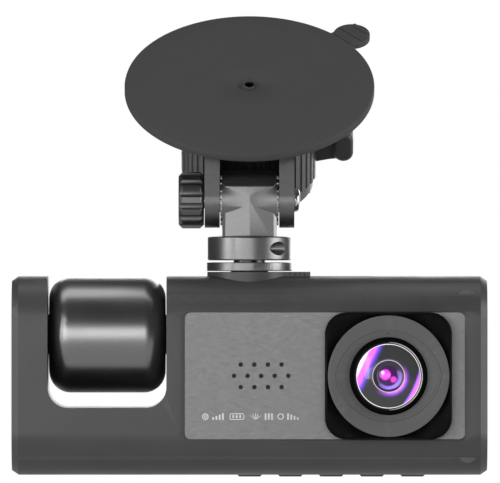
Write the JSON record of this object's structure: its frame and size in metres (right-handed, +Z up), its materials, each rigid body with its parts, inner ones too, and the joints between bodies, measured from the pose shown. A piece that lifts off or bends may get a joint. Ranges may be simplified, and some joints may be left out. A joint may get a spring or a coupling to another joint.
{
  "type": "dash camera",
  "caption": "Windscreen dash camera: a flat bar with a road lens and a turning cabin camera drum, hung from a lever suction mount with tilt and swivel.",
  "frame": {"origin": "centre of the suction pad's glass face", "axes": "+X along the camera bar to the lens end, -Y towards the road, +Z up with the bar level"},
  "size_m": [0.11, 0.0598, 0.1075],
  "materials": {
    "pad_rubber": "matt soft rubber",
    "black_plastic": "fine satin moulded",
    "gloss_black": "polished",
    "panel_grey": "satin metallic lacquer",
    "bezel_grey": "satin anodised",
    "chrome_steel": "polished",
    "steel": "brushed",
    "brass": "turned",
    "lens_glass": "coated",
    "window_glass": "dark tinted gloss",
    "board_green": "solder mask",
    "chip_black": "moulded",
    "lead_rubber": "matt",
    "pouch_foil": "foil",
    "led_lens": "dark clear"
  },
  "bodies": {
    "mount": {"suction_pad": "pad_rubber", "cup_housing": "black_plastic", "hinge_bolt": "chrome_steel"},
    "knob": {"tilt_knob": "black_plastic", "knob_nut": "brass"},
    "plunger": {"plunger": "black_plastic", "lever_pin": "steel"},
    "lever": {"lever": "black_plastic"},
    "arm": {"tilt_arm": "black_plastic", "swivel_pin": "steel", "friction_washers": "steel"},
    "swivel": {"swivel_disc": "black_plastic", "mount_foot": "black_plastic", "foot_screw": "steel"},
    "cabin_camera": {"drum_front": "gloss_black", "drum_rear": "gloss_black", "drum_trunnions": "steel", "pivot_washers": "black_plastic", "cabin_face": "gloss_black", "cabin_barrel": "black_plastic", "cabin_glass": "lens_glass", "cabin_leds": "led_lens", "cabin_board": "board_green"},
    "card": {"memory_card": "black_plastic"},
    "button_1": {"button_1": "black_plastic"},
    "button_2": {"button_2": "black_plastic"},
    "button_3": {"button_3": "black_plastic"},
    "button_4": {"button_4": "black_plastic"},
    "button_5": {"button_5": "black_plastic"},
    "camera": {"backup_battery": "pouch_foil", "board_chips": "chip_black", "board_plugs": "black_plastic", "board_screws": "steel", "button_board": "board_green", "button_switches": "steel", "cabin_lead": "lead_rubber", "card_socket": "steel", "case_screws": "steel", "display_module": "chip_black", "display_window": "window_glass", "front_glass": "lens_glass", "front_panel": "panel_grey", "front_shell": "black_plastic", "heat_spreader": "bezel_grey", "image_sensor": "chip_black", "lens_barrel": "gloss_black", "lens_bezel": "bezel_grey", "lens_block": "black_plastic", "lens_elements": "lens_glass", "lens_holder": "black_plastic", "main_board": "board_green", "microphone": "steel", "mount_shoe": "black_plastic", "rear_camera_jack": "black_plastic", "rear_shell": "black_plastic", "sensor_board": "board_green", "speaker": "black_plastic", "usb_socket": "steel"}
  },
  "joints": [
    {"name": "tilt", "type": "hinge", "parent": "mount", "child": "arm", "pos_m": [0, -0.00987, -0.027], "axis": [1, 0, 0], "range_deg": [-70, 10]},
    {"name": "knob_turn", "type": "hinge", "parent": "mount", "child": "knob", "pos_m": [-0.0135, -0.00987, -0.027], "axis": [1, 0, 0], "continuous": true},
    {"name": "pad_pull", "type": "slide", "parent": "mount", "child": "plunger", "axis": [0, 0.565, -0.8251], "range_m": [-0.0016, 0]},
    {"name": "lever_turn", "type": "hinge", "parent": "plunger", "child": "lever", "pos_m": [0, 0.01215, -0.01774], "axis": [0, 0.8251, 0.565], "range_deg": [0, 75]},
    {"name": "swivel_turn", "type": "hinge", "parent": "arm", "child": "swivel", "pos_m": [0, -0.00987, -0.04095], "axis": [0, 0, 1], "continuous": true},
    {"name": "shoe_slide", "type": "slide", "parent": "swivel", "child": "camera", "axis": [-1, 0, 0], "range_m": [0, 0.0208]},
    {"name": "cabin_tilt", "type": "hinge", "parent": "camera", "child": "cabin_camera", "pos_m": [-0.03295, -0.00987, -0.05818], "axis": [1, 0, 0], "range_deg": [-90, 90]},
    {"name": "card_slide", "type": "slide", "parent": "camera", "child": "card", "axis": [1, 0, 0], "range_m": [0, 0.012]},
    {"name": "button_1_press", "type": "slide", "parent": "camera", "child": "button_1", "axis": [0, 0, 1], "range_m": [0, 0.0005], "stiffness_N_per_m": 400, "springref_m": -0.0003},
    {"name": "button_2_press", "type": "slide", "parent": "camera", "child": "button_2", "axis": [0, 0, 1], "range_m": [0, 0.0005], "stiffness_N_per_m": 400, "springref_m": -0.0003},
    {"name": "button_3_press", "type": "slide", "parent": "camera", "child": "button_3", "axis": [0, 0, 1], "range_m": [0, 0.0005], "stiffness_N_per_m": 400, "springref_m": -0.0003},
    {"name": "button_4_press", "type": "slide", "parent": "camera", "child": "button_4", "axis": [0, 0, 1], "range_m": [0, 0.0005], "stiffness_N_per_m": 400, "springref_m": -0.0003},
    {"name": "button_5_press", "type": "slide", "parent": "camera", "child": "button_5", "axis": [0, 0, 1], "range_m": [0, 0.0005], "stiffness_N_per_m": 400, "springref_m": -0.0003}
  ],
  "couplings": [
    {"joint": "lever_turn", "follows": "pad_pull", "rad_per_m": -818.12}
  ]
}
